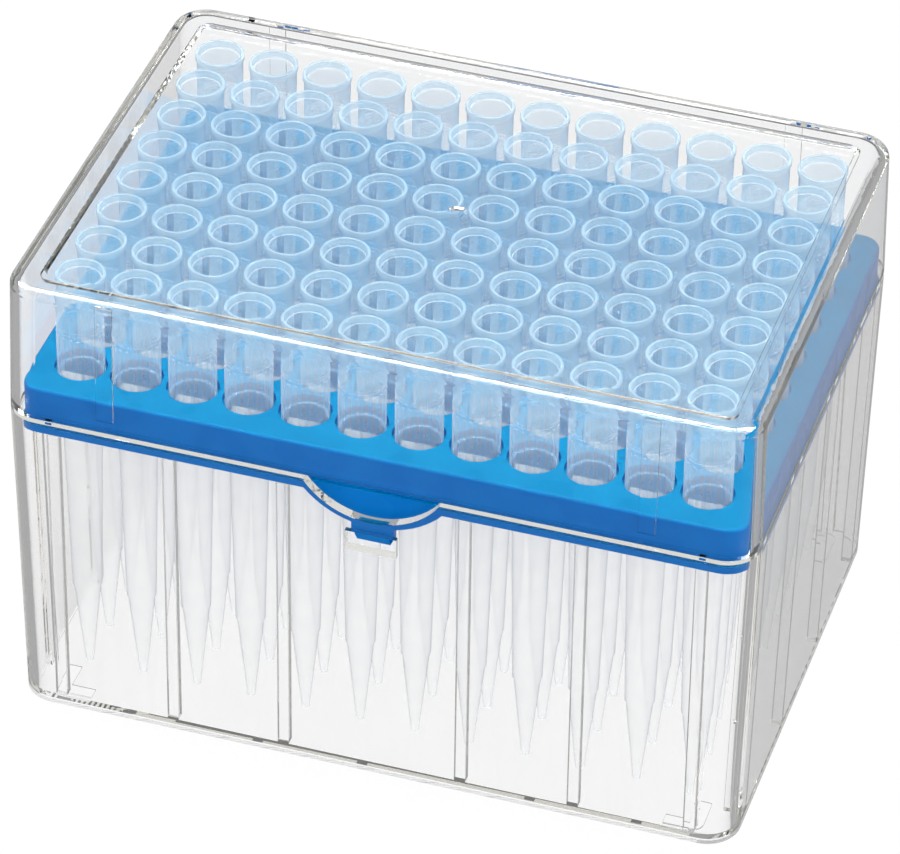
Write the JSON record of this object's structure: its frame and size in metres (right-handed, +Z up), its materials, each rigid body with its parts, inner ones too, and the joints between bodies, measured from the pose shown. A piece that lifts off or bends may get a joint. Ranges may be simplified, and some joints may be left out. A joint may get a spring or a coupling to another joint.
{
  "type": "box of pipette tips",
  "caption": "Clear plastic box with a lift-off lid and a coloured snap-in rack, filled with hollow pipette tips in a square grid.",
  "frame": {"origin": "middle of the footprint, on the surface that the box stands on", "axes": "+Z up, +X along the twelve columns of tips, +Y to the back; the front is the side seen with the lid's long edge towards the user"},
  "size_m": [0.1184, 0.0836, 0.0793],
  "materials": {
    "clear_plastic": "clear, polished",
    "blue_plastic": "satin",
    "tip_plastic": "translucent, smooth"
  },
  "bodies": {
    "box": {"base": "clear_plastic", "rack": "blue_plastic", "tips_column_01_front": "tip_plastic", "tips_column_01_rear": "tip_plastic", "tips_column_02_front": "tip_plastic", "tips_column_02_rear": "tip_plastic", "tips_column_03_front": "tip_plastic", "tips_column_03_rear": "tip_plastic", "tips_column_04_front": "tip_plastic", "tips_column_04_rear": "tip_plastic", "tips_column_05_front": "tip_plastic", "tips_column_05_rear": "tip_plastic", "tips_column_06_front": "tip_plastic", "tips_column_06_rear": "tip_plastic", "tips_column_07_front": "tip_plastic", "tips_column_07_rear": "tip_plastic", "tips_column_08_front": "tip_plastic", "tips_column_08_rear": "tip_plastic", "tips_column_09_front": "tip_plastic", "tips_column_09_rear": "tip_plastic", "tips_column_10_front": "tip_plastic", "tips_column_10_rear": "tip_plastic", "tips_column_11_front": "tip_plastic", "tips_column_11_rear": "tip_plastic", "tips_column_12_front": "tip_plastic", "tips_column_12_rear": "tip_plastic"},
    "lid": {"lid": "clear_plastic"}
  },
  "joints": [
    {"name": "lid_lift", "type": "slide", "parent": "box", "child": "lid", "axis": [0, 0, 1], "range_m": [0, 0.06]}
  ]
}
